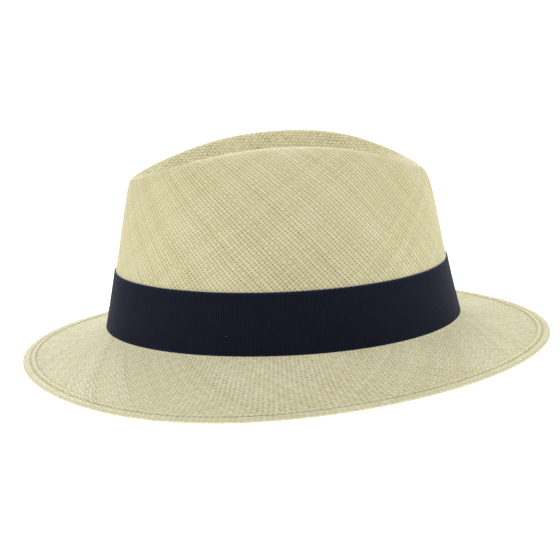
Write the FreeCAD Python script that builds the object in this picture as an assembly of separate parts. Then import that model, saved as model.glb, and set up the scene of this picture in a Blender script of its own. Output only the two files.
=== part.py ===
"""A woven straw fedora with a grosgrain hat band, standing on its brim.

Millimetres. +Z is up, the front of the hat faces -Y and the wearer's left is +X.
The origin is on the surface that the hat stands on, under the middle of the brim.

The shape is worked out upright, as on the hatter's block: z = 0 is where the crown meets
the brim. Each piece is then leaned forward and raised, so that the hat stands on its brim.
An angle goes round the hat from the front, 0, over the wearer's left, 90, to the back, 180.
"""
import FreeCAD
import Part
import os
from math import cos, degrees, exp, hypot, pi, radians, sin, tan

# Driving dimensions: the head oval, outside the straw where the crown meets the brim
HEAD_HALF_LENGTH = 103.2
HEAD_HALF_WIDTH = 85.1
HEAD_EGG = 0.03
HEAD = (HEAD_HALF_LENGTH, HEAD_HALF_LENGTH, HEAD_HALF_WIDTH, HEAD_EGG)

# Walls of the crown: how far each leans in, in degrees
LEAN_FRONT = 13.7
LEAN_BACK = 12.4
LEAN_SIDE = 13.2

# Ridge round the creased top: a teardrop that is lower at its front and back ends
RIDGE_HEIGHT = 104.9
RIDGE_FRONT = 81.5
RIDGE_BACK = 84.5
RIDGE_HALF_WIDTH = 33.0
RIDGE_EGG = 0.19
RIDGE_FULLNESS = 0.45         # how much wider the blunt front makes the ridge
RIDGE_DROP_FRONT = 20.1
RIDGE_DROP_BACK = 18.8
DROP_POWER_FRONT = 2.45
DROP_POWER_BACK = 1.87
CREASE_HEIGHT = 82.0

# How fully the wall and the crease are rounded at the ridge: curve handle lengths
WALL_RISE_FRONT = 0.64
WALL_RISE_BACK = 0.47
WALL_RISE_SIDE = 0.60
SHOULDER_FRONT = 9.2
SHOULDER_BACK = 2.0
SHOULDER_SIDE = 16.0
CREASE_SHOULDER_FRONT = 3.0
CREASE_SHOULDER_BACK = 6.0
CREASE_SHOULDER_SIDE = 6.0
CREASE_SPREAD = 0.42

# The two finger pinches at the front of the crown
PINCH_DEPTH = 5.5
PINCH_ANGLE = 50.0
PINCH_HEIGHT = 76.0
PINCH_SPREAD_ANGLE = 16.0
PINCH_SPREAD_HEIGHT = 17.0

# Brim: its outline, and how its edge rises and falls round the hat
BRIM_FRONT = 156.5
BRIM_BACK = 153.3
BRIM_SIDE = 142.0
BRIM_EGG = -0.053
BRIM_ROUNDING = -0.018
BRIM_DROP = 15.1
BRIM_WAVES = (2.25, 0.40, -0.95, 0.40)
BRIM_DISH = 0.85

# Straw and the turned, stitched edge of the brim
STRAW = 1.2
BREAK_OUT = 1.5
BREAK_DROP = 1.0
EDGE_THICKNESS = 2.2
EDGE_WIDTH = 8.6
EDGE_RIDGE = 0.55
STITCH_GROOVE = 0.25
STITCH_ROWS = (4.5, 7.8)
STITCH_RADIUS = 0.2
STITCH_LIFT = 0.1
BRIM_STITCH = 2.2
BRIM_STITCH_GAP = 1.0

# Hat band of grosgrain ribbon, and its flat bow on the wearer's left
RIBBON = 0.6
BAND_GAP = 0.25
BAND_LOW = 0.3
BAND_HIGH = 33.5
BOW_ANGLE = 90.0
BOW_HALF_LENGTH = 31.0
BOW_LOW = 3.0
BOW_HIGH = 31.0
BOW_BULGE = 2.6
BOW_WAIST = 0.9
BOW_SQUEEZE = 0.09
LAYER_GAP = 0.15
KNOT_WIDTH = 13.0
KNOT_LOW = 1.0
KNOT_HIGH = 33.0
KNOT_DEPTH = 3.5
TAIL_LENGTH = 43.0
TAIL_SLANT = 0.38
TAIL_POINT = 0.8
TACK_ANGLES = (-112.0, -35.0, 20.0, 145.0, 180.0)
TACK_HEIGHT = 11.0
TACK_LENGTH = 1.8
TACK_LIFT = 0.35

# Sweatband inside the crown
LEATHER = 0.8
REED_RADIUS = 0.75
TAPE = 0.3
TAPE_GAP = 0.15
TAPE_FLAP = 7.0
REED_CLEARANCE = 0.4
REED_DROP = 1.2
LEATHER_BACK = STRAW + TAPE + 0.5
LEATHER_FACE = LEATHER_BACK + LEATHER
SWEATBAND_HIGH = 34.0
LEATHER_STITCH = 3.0
LEATHER_STITCH_GAP = 1.5
LEATHER_STITCH_HEIGHT = 3.2
SEAM_TAPE_WIDTH = 9.0
SEAM_TAPE_LOW = 5.0
LABEL_ANGLE = 205.0
LABEL_WIDTH = 22.0
LABEL_LOW = 13.0
LABEL_HIGH = 25.0
LABEL_THICKNESS = 0.35
SATIN = 0.2
SMALL_BOW_HALF = 9.0
SMALL_BOW_LOW = 6.0
SMALL_BOW_HIGH = 11.0
SMALL_BOW_BULGE = 0.8
SMALL_BOW_WAIST = 0.5
SMALL_KNOT_WIDTH = 2.6
SMALL_KNOT_DEPTH = 1.9
SMALL_KNOT_OVER = 0.6

# How the hat stands: leaned forward about X, raised and centred under its brim
FORWARD_TILT = 1.25
STAND_RAISE = 17.38
STAND_SHIFT = 1.29

# Fineness of the surfaces: steps round the hat and round a loop, and where rows of points lie
STEPS = 72
LOOP_STEPS = 40
CAP_SHARE = 0.97
CREASE_SHARES = (0.94, 0.86, 0.76, 0.66, 0.56, 0.45, 0.34, 0.24, 0.15, 0.07)
WALL_ROWS = 22
WALL_FOOT = 0.012
BRIM_SHARES = (0.0, 0.06, 0.15, 0.28, 0.42, 0.56, 0.68)


# ---------------------------------------------------------------- the hat's form

def oval(angle, front, back, half_width, egg):
    """A point of an egg-shaped oval."""
    side, fore = sin(angle), cos(angle)
    length = front if fore > 0 else back
    return half_width * side * (1 + egg * fore), -length * fore


def outward(angle):
    """The level direction that points away from the crown's wall."""
    step = 1e-4
    x0, y0 = oval(angle - step, *HEAD)
    x1, y1 = oval(angle + step, *HEAD)
    length = hypot(x1 - x0, y1 - y0)
    return (y1 - y0) / length, (x0 - x1) / length


def blend(angle, front, back, side):
    """A value that turns smoothly from the front or back to the sides."""
    end = front if cos(angle) > 0 else back
    return side * sin(angle) ** 2 + end * cos(angle) ** 2


def bezier(t, *points):
    """A point of the cubic curve with four control points."""
    u = 1 - t
    shares = (u ** 3, 3 * u * u * t, 3 * u * t * t, t ** 3)
    return tuple(sum(s * p[k] for s, p in zip(shares, points)) for k in range(3))


def ridge(angle):
    """A point of the ridge round the creased top, which is blunt at the front."""
    x, y = oval(angle, RIDGE_FRONT, RIDGE_BACK, RIDGE_HALF_WIDTH, RIDGE_EGG)
    fore = cos(angle)
    x *= 1 + RIDGE_FULLNESS * max(0.0, fore) ** 2
    if fore > 0:
        drop = RIDGE_DROP_FRONT * fore ** DROP_POWER_FRONT
    else:
        drop = RIDGE_DROP_BACK * (-fore) ** DROP_POWER_BACK
    return x, y, RIDGE_HEIGHT - drop


def pinch(angle, height):
    """How far the front pinches push the crown in."""
    depth = 0.0
    for centre in (PINCH_ANGLE, -PINCH_ANGLE):
        away = (degrees(angle) - centre + 180) % 360 - 180
        depth += exp(-(away / PINCH_SPREAD_ANGLE) ** 2)
    return PINCH_DEPTH * depth * exp(-((height - PINCH_HEIGHT) / PINCH_SPREAD_HEIGHT) ** 2)


def crown_wall(angle, t):
    """The crown's side, from the brim, t = 0, to the ridge, t = 1."""
    x, y = oval(angle, *HEAD)
    nx, ny = outward(angle)
    rx, ry, rz = ridge(angle)
    rise = rz * blend(angle, WALL_RISE_FRONT, WALL_RISE_BACK, WALL_RISE_SIDE)
    inward = rise * tan(radians(blend(angle, LEAN_FRONT, LEAN_BACK, LEAN_SIDE)))
    shoulder = blend(angle, SHOULDER_FRONT, SHOULDER_BACK, SHOULDER_SIDE)
    low_handle = (x - nx * inward, y - ny * inward, rise)
    high_handle = (rx + nx * shoulder, ry + ny * shoulder, rz)
    px, py, pz = bezier(t, (x, y, 0), low_handle, high_handle, (rx, ry, rz))
    push = pinch(angle, pz)
    return px - nx * push, py - ny * push, pz


def crown_top(angle, t):
    """The creased top, from the ridge, t = 0, to the middle of the crease, t = 1."""
    nx, ny = outward(angle)
    rx, ry, rz = ridge(angle)
    shoulder = blend(angle, CREASE_SHOULDER_FRONT, CREASE_SHOULDER_BACK, CREASE_SHOULDER_SIDE)
    high_handle = (rx - nx * shoulder, ry - ny * shoulder, rz)
    low_handle = (rx * CREASE_SPREAD, ry * CREASE_SPREAD, CREASE_HEIGHT)
    px, py, pz = bezier(t, (rx, ry, rz), high_handle, low_handle, (0, 0, CREASE_HEIGHT))
    push = pinch(angle, rz) * (1 - t) ** 2
    return px - nx * push, py - ny * push, pz


def brim_edge(angle):
    """The outer edge of the brim, on the brim's upper face."""
    x, y = oval(angle, BRIM_FRONT, BRIM_BACK, BRIM_SIDE, BRIM_EGG)
    scale = 1 + BRIM_ROUNDING * sin(2 * angle) ** 2
    waves = sum(h * cos((k + 1) * angle) for k, h in enumerate(BRIM_WAVES))
    return x * scale, y * scale, waves - BRIM_DROP + EDGE_THICKNESS / 2


def brim(angle, share, raised=0.0):
    """The brim's upper face: share is 0 at the crown and 1 at the edge."""
    x, y = oval(angle, *HEAD)
    nx, ny = outward(angle)
    x, y = x + nx * BREAK_OUT, y + ny * BREAK_OUT
    ex, ey, ez = brim_edge(angle)
    fall = (1 + BRIM_DISH) * share - BRIM_DISH * share * share
    z = -BREAK_DROP + (ez + BREAK_DROP) * fall
    return x + (ex - x) * share, y + (ey - y) * share, z + raised


def brim_from_edge(angle, distance, raised):
    """A point at a distance in from the brim's edge, raised off its upper face."""
    x0, y0, _ = brim(angle, 0)
    x1, y1, _ = brim(angle, 1)
    return brim(angle, 1 - distance / hypot(x1 - x0, y1 - y0), raised)


def on_wall(angle, height, off):
    """A point at a height on the crown's wall, off its outer face: negative is inside."""
    low, high = 0.0, 1.0
    for _ in range(30):
        middle = (low + high) / 2
        if crown_wall(angle, middle)[2] < height:
            low = middle
        else:
            high = middle
    x, y, _ = crown_wall(angle, low)
    nx, ny = outward(angle)
    return x + nx * off, y + ny * off, height


# ---------------------------------------------------------------- making solids

def stand(shape):
    """Leans a finished piece forward and raises it, as the hat stands on its brim."""
    turned = shape.rotated(FreeCAD.Vector(0, 0, 0), FreeCAD.Vector(1, 0, 0), FORWARD_TILT)
    return turned.translated(FreeCAD.Vector(0, STAND_SHIFT, STAND_RAISE))


def save(name, *solids):
    shapes = [stand(solid) for solid in solids]
    whole = shapes[0] if len(shapes) == 1 else Part.makeCompound(shapes)
    whole.exportStep(f"parts/{name}.step")
    volume = sum(shape.Volume for shape in shapes)
    print(f"{name}: {len(shapes)} solid(s), {volume / 1000:.2f} cm3, valid {whole.isValid()}")


def vectors(points):
    return [FreeCAD.Vector(*point) for point in points]


def solid_of(faces):
    shell = Part.Shell(faces)
    if len(faces) > 1:
        shell.sewShape()
    solid = Part.Solid(shell)
    if solid.Volume < 0:
        solid.reverse()
    return solid


def ring(section, steps=STEPS):
    """A closed ring: section(angle) gives the points round its cross-section."""
    poles = [vectors(section(2 * pi * k / steps)) for k in range(steps)]
    across = len(poles[0])
    surface = Part.BSplineSurface()
    surface.buildFromPolesMultsKnots(
        poles, [1] * (steps + 1), [1] * (across + 1),
        list(range(steps + 1)), list(range(across + 1)), True, True, 3, 3)
    return solid_of([surface.toShape()])


def strip(sections):
    """A strip through four-cornered sections, one after the other."""
    wires = [Part.makePolygon(vectors(corners) + vectors(corners[:1])) for corners in sections]
    return Part.makeLoft(wires, True, True)


def flat_section(low, high, inner, outer, point, rows=6):
    """The points round a thin upright section: up its outer face and down its inner one."""
    heights = [low + (high - low) * k / rows for k in range(rows + 1)]
    up = [point(height, outer) for height in heights]
    down = [point(height, inner) for height in reversed(heights)]
    return up + down


# ---------------------------------------------------------------- the pieces

def straw_profile(angle):
    """Half of the hat's cross-section, from the crease out over the brim and back inside."""
    crown = [crown_top(angle, share) for share in CREASE_SHARES]
    crown += [crown_wall(angle, 1 - k / WALL_ROWS) for k in range(WALL_ROWS)]
    crown.append(crown_wall(angle, WALL_FOOT))
    upper = [brim(angle, share) for share in BRIM_SHARES]
    under = [brim(angle, share, -STRAW) for share in BRIM_SHARES]
    return crown, upper, under


def turned_edge(angle):
    """The stitched fold round the brim's edge, over the top and back underneath."""
    first, second = STITCH_ROWS
    over = (
        (EDGE_WIDTH + 2.2, 0.0), (EDGE_WIDTH + 0.4, 0.0), (second, -STITCH_GROOVE),
        (second - 0.8, EDGE_RIDGE), (first + 0.9, EDGE_RIDGE), (first, -STITCH_GROOVE),
        (first - 0.9, 0.1), (2.4, 0.1), (0.9, 0.0), (0.0, -0.5))
    beneath = (
        (0.0, 0.5 - EDGE_THICKNESS), (0.9, -EDGE_THICKNESS), (2.6, -EDGE_THICKNESS),
        (EDGE_WIDTH - 2.0, -EDGE_THICKNESS), (EDGE_WIDTH - 0.3, -EDGE_THICKNESS),
        (EDGE_WIDTH, -STRAW - 0.2), (EDGE_WIDTH + 0.5, -STRAW), (EDGE_WIDTH + 2.4, -STRAW))
    return [brim_from_edge(angle, distance, raised) for distance, raised in over + beneath]


def inner_offset(columns, k, row):
    """A point of the crown moved inwards, square to the straw, by its thickness."""
    before, after = columns[k - 1][row], columns[(k + 1) % len(columns)][row]
    column = columns[k]
    below, above = column[min(row + 1, len(column) - 1)], column[max(row - 1, 0)]
    along = FreeCAD.Vector(*after) - FreeCAD.Vector(*before)
    up = FreeCAD.Vector(*above) - FreeCAD.Vector(*below)
    normal = along.cross(up).normalize()
    return FreeCAD.Vector(*column[row]) - normal * STRAW


def straw_body():
    """Crown and brim woven in one piece, as one wall with a small flat cap at the crease."""
    angles = [2 * pi * k / STEPS for k in range(STEPS)]
    profiles = [straw_profile(angle) for angle in angles]
    crowns = [crown for crown, _, _ in profiles]
    poles = []
    for k, angle in enumerate(angles):
        crown, upper, under = profiles[k]
        x, y, _ = crown_top(angle, CAP_SHARE)
        outer_cap = FreeCAD.Vector(x, y, CREASE_HEIGHT)
        inner_cap = FreeCAD.Vector(x, y, CREASE_HEIGHT - STRAW)
        inside = [inner_offset(crowns, k, row) for row in range(len(crown))]
        column = [outer_cap] + vectors(crown + upper + turned_edge(angle) + under[::-1])
        poles.append(column + inside[::-1] + [inner_cap])
    rows = len(poles[0])
    surface = Part.BSplineSurface()
    surface.buildFromPolesMultsKnots(
        poles, [1] * (STEPS + 1), [4] + [1] * (rows - 4) + [4],
        list(range(STEPS + 1)), list(range(rows - 2)), True, False, 3, 3)
    bands = (0, rows // 3, 2 * rows // 3, rows - 3)
    faces = []
    for first, last in zip(bands[:-1], bands[1:]):
        band = surface.copy()
        band.segment(0, STEPS, first, last)
        faces.append(band.toShape())
    ends = (faces[0], CREASE_HEIGHT), (faces[-1], CREASE_HEIGHT - STRAW)
    for face, height in ends:
        rims = []
        for edge in face.Edges:
            box = edge.BoundBox
            if box.ZLength < 0.01 and abs(box.ZMin - height) < 0.01:
                rims.append(edge)
        faces.append(Part.Face(Part.Wire(rims)))
    return solid_of(faces)


def stitches(centre, length, gap):
    """A row of separate short stitches along centre(angle), all round the hat."""
    fine = 10 * STEPS
    points = vectors([centre(2 * pi * k / fine) for k in range(fine + 1)])
    row = []
    walked, next_start = 0.0, 0.0
    for before, after in zip(points[:-1], points[1:]):
        walked += (after - before).Length
        if walked >= next_start:
            along = (after - before).normalize()
            row.append(Part.makeCylinder(STITCH_RADIUS, length, before, along))
            next_start += length + gap
    return row


def brim_stitching():
    """Two rows of machine stitches, one along each groove of the turned edge."""
    rows = []
    for distance in STITCH_ROWS:
        rows += stitches(
            lambda angle: brim_from_edge(angle, distance, STITCH_RADIUS + STITCH_LIFT),
            BRIM_STITCH, BRIM_STITCH_GAP)
    return rows


def hat_band():
    """Ribbon drawn round the foot of the crown."""
    inner, outer = BAND_GAP, BAND_GAP + RIBBON
    return ring(lambda angle: flat_section(
        BAND_LOW, BAND_HIGH, inner, outer, lambda height, off: on_wall(angle, height, off)))


def band_tacks():
    """Short hand stitches that hold the band to the straw."""
    tacks = []
    for turn in TACK_ANGLES:
        angle = radians(turn)
        nx, ny = outward(angle)
        centre = FreeCAD.Vector(*on_wall(angle, TACK_HEIGHT, BAND_GAP + RIBBON + TACK_LIFT))
        along = FreeCAD.Vector(-ny, nx, 0)
        start = centre - along * (TACK_LENGTH / 2)
        tacks.append(Part.makeCylinder(STITCH_RADIUS, TACK_LENGTH, start, along))
    return tacks


def beside(centre_angle, along, height, off):
    """A point on the wall, at a distance along it from a centre, such as the bow's."""
    angle = radians(centre_angle) + along / HEAD_HALF_LENGTH
    return on_wall(angle, height, off)


def flattened(turn, half_length, back, lift, thickness):
    """A point of a ribbon's path pressed flat: distance along, distance off, and its normal."""
    def path(t):
        along = half_length * cos(t)
        rise = lift(abs(cos(t))) / 2
        return along, back + rise + rise * sin(t) * abs(sin(t)) ** -0.45

    step = 1e-3
    x0, y0 = path(turn - step)
    x1, y1 = path(turn + step)
    length = hypot(x1 - x0, y1 - y0)
    along, off = path(turn)
    return along, off, (y1 - y0) / length * thickness / 2, (x0 - x1) / length * thickness / 2


def bow_loop(centre, half_length, low, high, back, bulge, waist, thickness, side=1):
    """A ribbon loop pressed flat against the wall, and drawn in where the knot holds it."""
    def lift(share):
        return waist + bulge * sin(pi * min(1.0, share * 1.05)) ** 0.7

    def section(turn):
        turn += 0.01
        along, off, add_along, add_off = flattened(turn, half_length, back, lift, thickness)
        squeeze = BOW_SQUEEZE * (high - low) * (1 - abs(cos(turn))) ** 3
        return flat_section(
            low + squeeze, high - squeeze, -1, 1, lambda height, face: beside(
                centre, along + face * add_along, height, side * (off + face * add_off)))
    return ring(section, LOOP_STEPS)


def bow_knot(centre, width, low, high, back, depth, thickness, side=1):
    """The ribbon wrapped round the bow's waist, as a flat upright ring."""
    middle, half_height = (low + high) / 2, (high - low) / 2

    def section(turn):
        turn += 0.01
        rise, off, add_up, add_off = flattened(
            turn, half_height, back, lambda share: depth, thickness)
        return flat_section(
            -width / 2, width / 2, -1, 1, lambda along, face: beside(
                centre, along, middle + rise + face * add_up, side * (off + face * add_off)))
    return ring(section, LOOP_STEPS)


def bow_tail():
    """The ribbon's end, lying flat under the bow and cut on the slant."""
    back = BAND_GAP + RIBBON + LAYER_GAP
    sections = []
    steps = 12
    for k in range(steps + 1):
        along = TAIL_LENGTH * k / steps
        slant = max(0.0, 1 - (TAIL_LENGTH - along) / (TAIL_SLANT * TAIL_LENGTH))
        low = BOW_LOW + TAIL_POINT * slant * (BOW_HIGH - BOW_LOW)
        corners = [(low, back), (low, back + RIBBON), (BOW_HIGH, back + RIBBON), (BOW_HIGH, back)]
        sections.append([beside(BOW_ANGLE, along, height, off) for height, off in corners])
    return strip(sections)


def reed_centre(angle):
    """The middle of the reed at the sweatband's lower edge."""
    x, y, _ = on_wall(angle, 0.0, 0.0)
    nx, ny = outward(angle)
    inwards = STRAW + 2 * TAPE + REED_CLEARANCE + REED_RADIUS
    return x - nx * inwards, y - ny * inwards, -REED_DROP


def sweatband():
    """The leather that lies against the head."""
    inner, outer = -LEATHER_FACE, -LEATHER_BACK
    low = REED_RADIUS + TAPE
    return ring(lambda angle: flat_section(
        low, SWEATBAND_HIGH, inner, outer, lambda height, off: on_wall(angle, height, off)))


def sweatband_reed():
    """The thin reed that keeps the sweatband's lower edge round."""
    def section(angle):
        x, y, z = reed_centre(angle)
        nx, ny = outward(angle)
        points = []
        for k in range(8):
            turn = 2 * pi * k / 8
            out = REED_RADIUS * cos(turn)
            points.append((x + nx * out, y + ny * out, z + REED_RADIUS * sin(turn)))
        return points
    return ring(section)


def reed_tape():
    """Cloth tape under the reed, with a flap up between the straw and the leather."""
    def section(angle):
        x, y, z = reed_centre(angle)
        nx, ny = outward(angle)
        near = REED_RADIUS + TAPE_GAP
        far = near + TAPE
        wrap = [radians(a) for a in (195, 225, 255, 285, 315, 345)]
        outer = [(far * cos(a), far * sin(a)) for a in wrap]
        inner = [(near * cos(a), near * sin(a)) for a in reversed(wrap)]
        points = [(x + nx * out, y + ny * out, z + up) for out, up in outer]
        outside = -(STRAW + TAPE_GAP)
        inside = outside - TAPE
        heights = (1.0, 3.0, 5.0, TAPE_FLAP)
        points += [on_wall(angle, height, outside) for height in heights]
        points += [on_wall(angle, height, inside) for height in reversed(heights)]
        points += [(x + nx * out, y + ny * out, z + up) for out, up in inner]
        return points
    return ring(section)


def sweatband_stitching():
    """A row of stitches through the leather, just above the reed."""
    inside = -(LEATHER_FACE + STITCH_RADIUS + STITCH_LIFT)
    return stitches(
        lambda angle: on_wall(angle, LEATHER_STITCH_HEIGHT, inside),
        LEATHER_STITCH, LEATHER_STITCH_GAP)


def inner_patch(centre_angle, width, low, high, off, thickness):
    """A small flat piece that lies on the inside of the sweatband."""
    sections = []
    steps = 6
    for k in range(steps + 1):
        along = width * (k / steps - 0.5)
        corners = [(low, off), (low, off - thickness), (high, off - thickness), (high, off)]
        sections.append([beside(centre_angle, along, height, o) for height, o in corners])
    return strip(sections)


def small_bow():
    """The little satin bow at the back of the sweatband: its loop and its knot."""
    back = LEATHER_FACE + LAYER_GAP + LABEL_THICKNESS + 2 * SATIN
    loop = bow_loop(
        180.0, SMALL_BOW_HALF, SMALL_BOW_LOW, SMALL_BOW_HIGH, back,
        SMALL_BOW_BULGE, SMALL_BOW_WAIST, SATIN, side=-1)
    knot = bow_knot(
        180.0, SMALL_KNOT_WIDTH, SMALL_BOW_LOW - SMALL_KNOT_OVER, SMALL_BOW_HIGH + SMALL_KNOT_OVER,
        back - SATIN - STITCH_LIFT / 2, SMALL_KNOT_DEPTH, SATIN, side=-1)
    return loop, knot


def main():
    os.makedirs("parts", exist_ok=True)
    save("straw_body", straw_body())
    save("brim_stitching", *brim_stitching())
    save("hat_band", hat_band())
    save("band_tacks", *band_tacks())
    band_face = BAND_GAP + RIBBON
    loop_back = band_face + 2 * LAYER_GAP + RIBBON + RIBBON / 2
    save("bow_loop", bow_loop(
        BOW_ANGLE, BOW_HALF_LENGTH, BOW_LOW, BOW_HIGH, loop_back, BOW_BULGE, BOW_WAIST, RIBBON))
    save("bow_tail", bow_tail())
    save("bow_knot", bow_knot(
        BOW_ANGLE, KNOT_WIDTH, KNOT_LOW, KNOT_HIGH, band_face + 2 * LAYER_GAP, KNOT_DEPTH, RIBBON))
    save("sweatband", sweatband())
    save("sweatband_reed", sweatband_reed())
    save("reed_tape", reed_tape())
    save("sweatband_stitching", *sweatband_stitching())
    seam = -(LEATHER_FACE + LAYER_GAP)
    save("seam_tape", inner_patch(
        180.0, SEAM_TAPE_WIDTH, SEAM_TAPE_LOW, SWEATBAND_HIGH - 1, seam, LABEL_THICKNESS))
    save("size_label", inner_patch(
        LABEL_ANGLE, LABEL_WIDTH, LABEL_LOW, LABEL_HIGH, seam, LABEL_THICKNESS))
    save("sweatband_bow", *small_bow())


main()
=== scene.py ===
"""A woven straw fedora with a grosgrain band and a flat side bow, standing on its brim.

The form is worked out in millimetres, upright as on the hatter's block: z = 0 is where the
crown meets the brim, the front faces -Y and the wearer's left is +X. An angle goes round
the hat from the front, 0, over the wearer's left, 90, to the back, 180. stand() leans and
raises each point and turns it to metres, so that a finished piece lies where the frame says.
"""
from functools import lru_cache
from math import atan2, cos, degrees, exp, hypot, pi, radians, sin, tan

import bmesh
import bpy
from mathutils import Matrix, Vector


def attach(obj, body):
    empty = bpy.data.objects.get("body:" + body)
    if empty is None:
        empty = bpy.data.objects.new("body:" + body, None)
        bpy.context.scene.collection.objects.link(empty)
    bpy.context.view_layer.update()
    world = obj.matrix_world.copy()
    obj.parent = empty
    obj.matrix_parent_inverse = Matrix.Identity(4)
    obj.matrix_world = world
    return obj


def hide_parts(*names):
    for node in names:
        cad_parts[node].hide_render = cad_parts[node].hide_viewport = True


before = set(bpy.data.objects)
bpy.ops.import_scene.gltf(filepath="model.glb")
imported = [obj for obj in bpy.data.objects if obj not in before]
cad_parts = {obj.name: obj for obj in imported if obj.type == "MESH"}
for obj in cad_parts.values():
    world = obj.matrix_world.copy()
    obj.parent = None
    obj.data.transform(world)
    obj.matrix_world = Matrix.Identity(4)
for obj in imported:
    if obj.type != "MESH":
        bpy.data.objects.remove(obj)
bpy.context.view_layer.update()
MM = 0.001

# HEAD, RIDGE and BRIM are ovals: length before and behind the middle, half width, and egg
# shape. Other values with three numbers are for the front, back and sides of the hat.

# The head oval, outside the straw where the crown meets the brim
HEAD = (103.2, 103.2, 85.1, 0.03)

# Walls of the crown: how far each leans in, in degrees
LEAN = (13.7, 12.4, 13.2)

# Ridge round the creased top, with the crease inside it: lower at its front and back by the
# two drops, and blunt at the front
RIDGE = (81.5, 84.5, 33.0, 0.19)
RIDGE_HEIGHT = 104.9
RIDGE_FULLNESS = 0.45
RIDGE_DROP, DROP_POWER = (20.1, 18.8), (2.45, 1.87)
CREASE_HEIGHT = 82.0

# How fully the wall and the crease are rounded at the ridge: curve handles
WALL_RISE = (0.64, 0.47, 0.60)
SHOULDER = (9.2, 2.0, 16.0)
CREASE_SHOULDER = (3.0, 6.0, 6.0)
CREASE_SPREAD = 0.42

# The two finger pinches at the front of the crown
PINCH_DEPTH, PINCH_ANGLE, PINCH_HEIGHT = 5.5, 50.0, 76.0
PINCH_SPREAD_ANGLE, PINCH_SPREAD_HEIGHT = 16.0, 17.0

# Brim: its outline, and how its edge rises and falls round the hat
BRIM = (156.5, 153.3, 142.0, -0.053)
BRIM_ROUNDING = -0.018
BRIM_DROP = 15.1
BRIM_WAVES = (2.25, 0.40, -0.95, 0.40)
BRIM_DISH = 0.85

# Straw and the turned, stitched edge of the brim
STRAW = 1.2
BREAK_OUT, BREAK_DROP = 1.5, 1.0
EDGE_THICKNESS, EDGE_WIDTH, EDGE_RIDGE = 2.2, 8.6, 0.55
STITCH_GROOVE = 0.25
STITCH_ROWS = (4.5, 7.8)
BRIM_STITCH, BRIM_STITCH_RADIUS, BRIM_STITCH_LIFT = 2.3, 0.26, 0.12

# Ribbon, its flat bow and its tacks
RIBBON, BAND_GAP = 0.6, 0.25
BAND_LOW, BAND_HIGH = 0.3, 33.5
BOW_ANGLE, BOW_HALF_LENGTH = 90.0, 31.0
BOW_LOW, BOW_HIGH = 3.0, 31.0
BOW_BULGE, BOW_WAIST = 2.6, 0.9
BOW_SQUEEZE = 0.09
PLEAT_DEPTH, PLEATS = 0.3, 5
LOOP_SQUARENESS = 0.45
LAYER_GAP = 0.15
KNOT_WIDTH, KNOT_LOW, KNOT_HIGH, KNOT_DEPTH = 13.0, 1.0, 33.0, 3.5
TAIL_LENGTH, TAIL_SLANT, TAIL_POINT = 43.0, 0.38, 0.8
TACK_ANGLES = (-112.0, -35.0, 20.0, 145.0, 180.0)
TACK_HEIGHT, TACK_LENGTH, TACK_RADIUS, TACK_LIFT = 11.0, 1.8, 0.3, 0.25

# Sweatband and what is sewn to it
LEATHER, TAPE, REED_RADIUS = 0.8, 0.3, 0.75
TAPE_GAP, REED_CLEARANCE, REED_DROP = 0.15, 0.4, 1.2
SWEATBAND_HIGH = 34.0
LEATHER_FACE = STRAW + TAPE + 0.5 + LEATHER
LEATHER_STITCHES, LEATHER_STITCH, LEATHER_STITCH_RADIUS = 127, 3.0, 0.25
LEATHER_STITCH_HEIGHT = 3.2
SEAM_ANGLE = 180.0
SEAM_TAPE_WIDTH, SEAM_TAPE_LOW = 10.0, 5.0
LABEL_ANGLE, LABEL_WIDTH, LABEL_LOW, LABEL_HIGH = 205.0, 22.0, 13.0, 25.0
LABEL_THICKNESS = 0.35
SATIN = 0.2
SMALL_BOW_HALF, SMALL_BOW_LOW, SMALL_BOW_HIGH = 9.0, 6.0, 11.0
SMALL_BOW_BULGE, SMALL_BOW_WAIST, SMALL_BOW_OFF = 0.8, 0.5, 0.9
SMALL_KNOT_WIDTH, SMALL_KNOT_DEPTH, SMALL_KNOT_OVER = 2.6, 1.9, 0.6

# How the hat stands
FORWARD_TILT, STAND_RAISE, STAND_SHIFT = 1.25, 17.38, 1.29

# The weave: a strand is about 1.75 mm wide and lies on the slant, so one comes about every
# 2.5 mm. The counts are how many start round the crown and round the brim; inside the crease
# the strands lie across the hat and never come round, so the number only has to be large.
STRAND_STEP = 2.5
CROWN_STRANDS, BRIM_STRANDS, CREASE_STRANDS = 204, 300, 4000

# Where rows of points lie across the crease, the crown's wall and the brim, and steps round
CREASE_SHARES = (1.0, 0.97, 0.9, 0.82, 0.73, 0.63, 0.52, 0.41, 0.3, 0.19, 0.09)
CREASE_ROWS, WALL_ROWS, WALL_FOOT = len(CREASE_SHARES), 23, 0.012
BRIM_SHARES = (0.0, 0.06, 0.15, 0.28, 0.42, 0.56, 0.68)
STRAW_STEPS, BAND_STEPS, INNER_STEPS, LOOP_STEPS, KNOT_STEPS = 120, 144, 120, 72, 56

# Small turns, in radians: one points a stitch along its row, and one keeps a loop's points off
# the middle of its bend
AHEAD, PAST_BEND = 0.005, 0.01


# ---------------------------------------------------------------- the hat's form

def oval(angle, front, back, half_width, egg):
    """A point of an egg-shaped oval."""
    side, fore = sin(angle), cos(angle)
    length = front if fore > 0 else back
    return half_width * side * (1 + egg * fore), -length * fore


def outward(angle):
    """The level direction that points away from the crown's wall."""
    step = 1e-4
    x0, y0 = oval(angle - step, *HEAD)
    x1, y1 = oval(angle + step, *HEAD)
    length = hypot(x1 - x0, y1 - y0)
    return (y1 - y0) / length, (x0 - x1) / length


def turned(angle, front, back, side):
    """A value that turns smoothly from the front or back to the sides."""
    end = front if cos(angle) > 0 else back
    return side * sin(angle) ** 2 + end * cos(angle) ** 2


def bezier(t, *points):
    """A point of the cubic curve with four control points."""
    u = 1 - t
    shares = (u ** 3, 3 * u * u * t, 3 * u * t * t, t ** 3)
    return tuple(sum(s * p[k] for s, p in zip(shares, points)) for k in range(3))


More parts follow.
